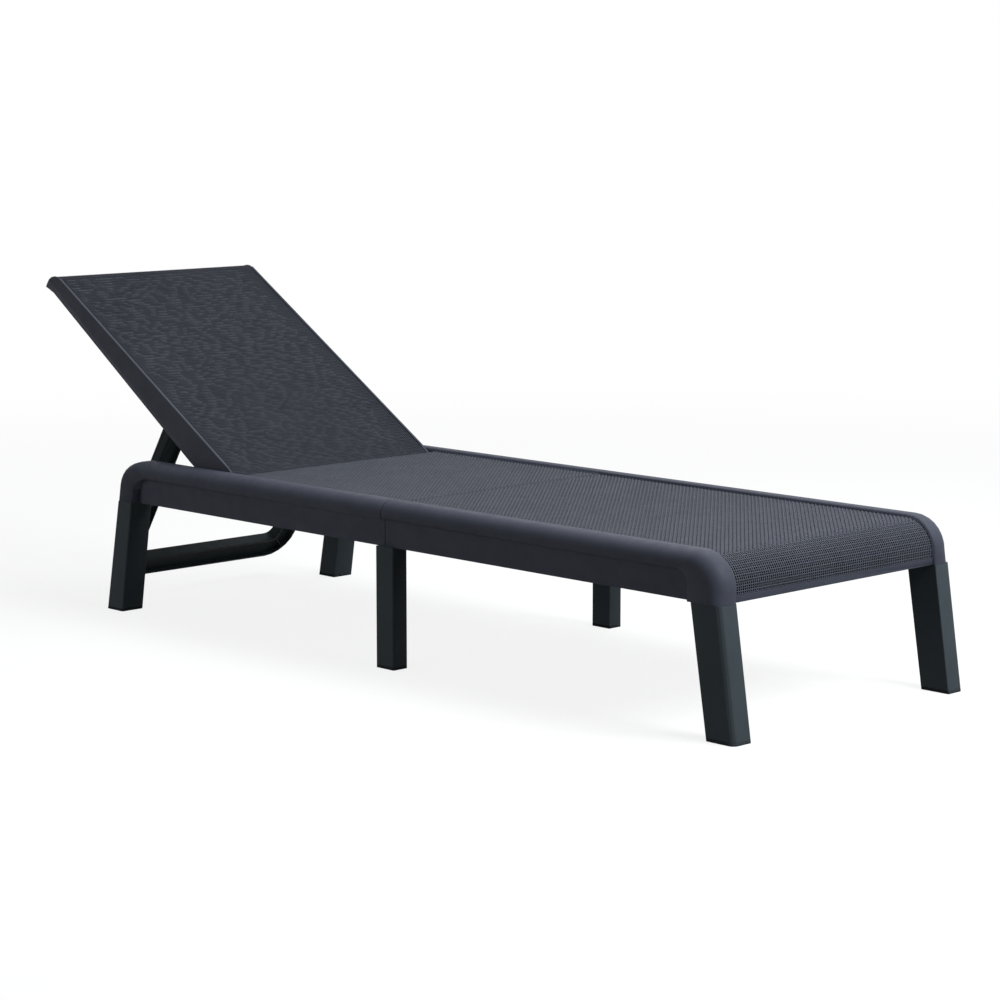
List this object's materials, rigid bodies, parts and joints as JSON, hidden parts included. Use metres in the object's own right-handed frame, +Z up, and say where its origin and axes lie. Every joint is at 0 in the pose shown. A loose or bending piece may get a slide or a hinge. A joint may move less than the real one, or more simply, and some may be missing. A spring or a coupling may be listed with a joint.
{
  "type": "sun lounger",
  "caption": "Low moulded resin sun lounger on legs, with a perforated deck and a hinged backrest that a folding prop frame holds up.",
  "frame": {"origin": "on the floor, under the centre of the lounger's bounding box with the backrest at its first recline", "axes": "+X along the bed towards the foot end, +Y across it to the left of someone lying on it, +Z up"},
  "size_m": [1.8334, 0.58, 0.6221],
  "materials": {
    "moulding": "satin moulded resin, anthracite",
    "leg": "satin moulded resin, dark anthracite",
    "prop": "satin moulded resin, dark anthracite",
    "bracket": "plain moulded resin",
    "cap": "matt black rubber",
    "steel": "plain stainless steel"
  },
  "bodies": {
    "bed": {"bed_rear": "moulding", "bed_foot": "moulding", "tie_rod": "steel", "hinge_pin_left": "steel", "hinge_pin_right": "steel", "leg_rear_left": "leg", "foot_cap_rear_left": "cap", "leg_screw_rear_left": "steel", "leg_rear_right": "leg", "foot_cap_rear_right": "cap", "leg_screw_rear_right": "steel", "leg_middle_left": "leg", "foot_cap_middle_left": "cap", "leg_screw_middle_left": "steel", "leg_middle_right": "leg", "foot_cap_middle_right": "cap", "leg_screw_middle_right": "steel", "leg_foot_left": "leg", "foot_cap_foot_left": "cap", "leg_screw_foot_left": "steel", "leg_foot_right": "leg", "foot_cap_foot_right": "cap", "leg_screw_foot_right": "steel", "bracket_left": "bracket", "bracket_screw_rear_left": "steel", "bracket_screw_foot_left": "steel", "bracket_right": "bracket", "bracket_screw_rear_right": "steel", "bracket_screw_foot_right": "steel"},
    "back": {"backrest": "moulding", "prop_pin_left": "steel", "prop_pin_right": "steel"},
    "prop": {"prop": "prop"}
  },
  "joints": [
    {"name": "recline", "type": "hinge", "parent": "bed", "child": "back", "pos_m": [-0.3515, 0, 0.262], "axis": [0, 1, 0], "range_deg": [-32, 0]},
    {"name": "prop_swing", "type": "hinge", "parent": "back", "child": "prop", "pos_m": [-0.54655, 0, 0.38388], "axis": [0, 1, 0], "range_deg": [0, 90]}
  ],
  "couplings": [
    {"joint": "prop_swing", "follows": "recline", "ratio": -2.8125}
  ]
}
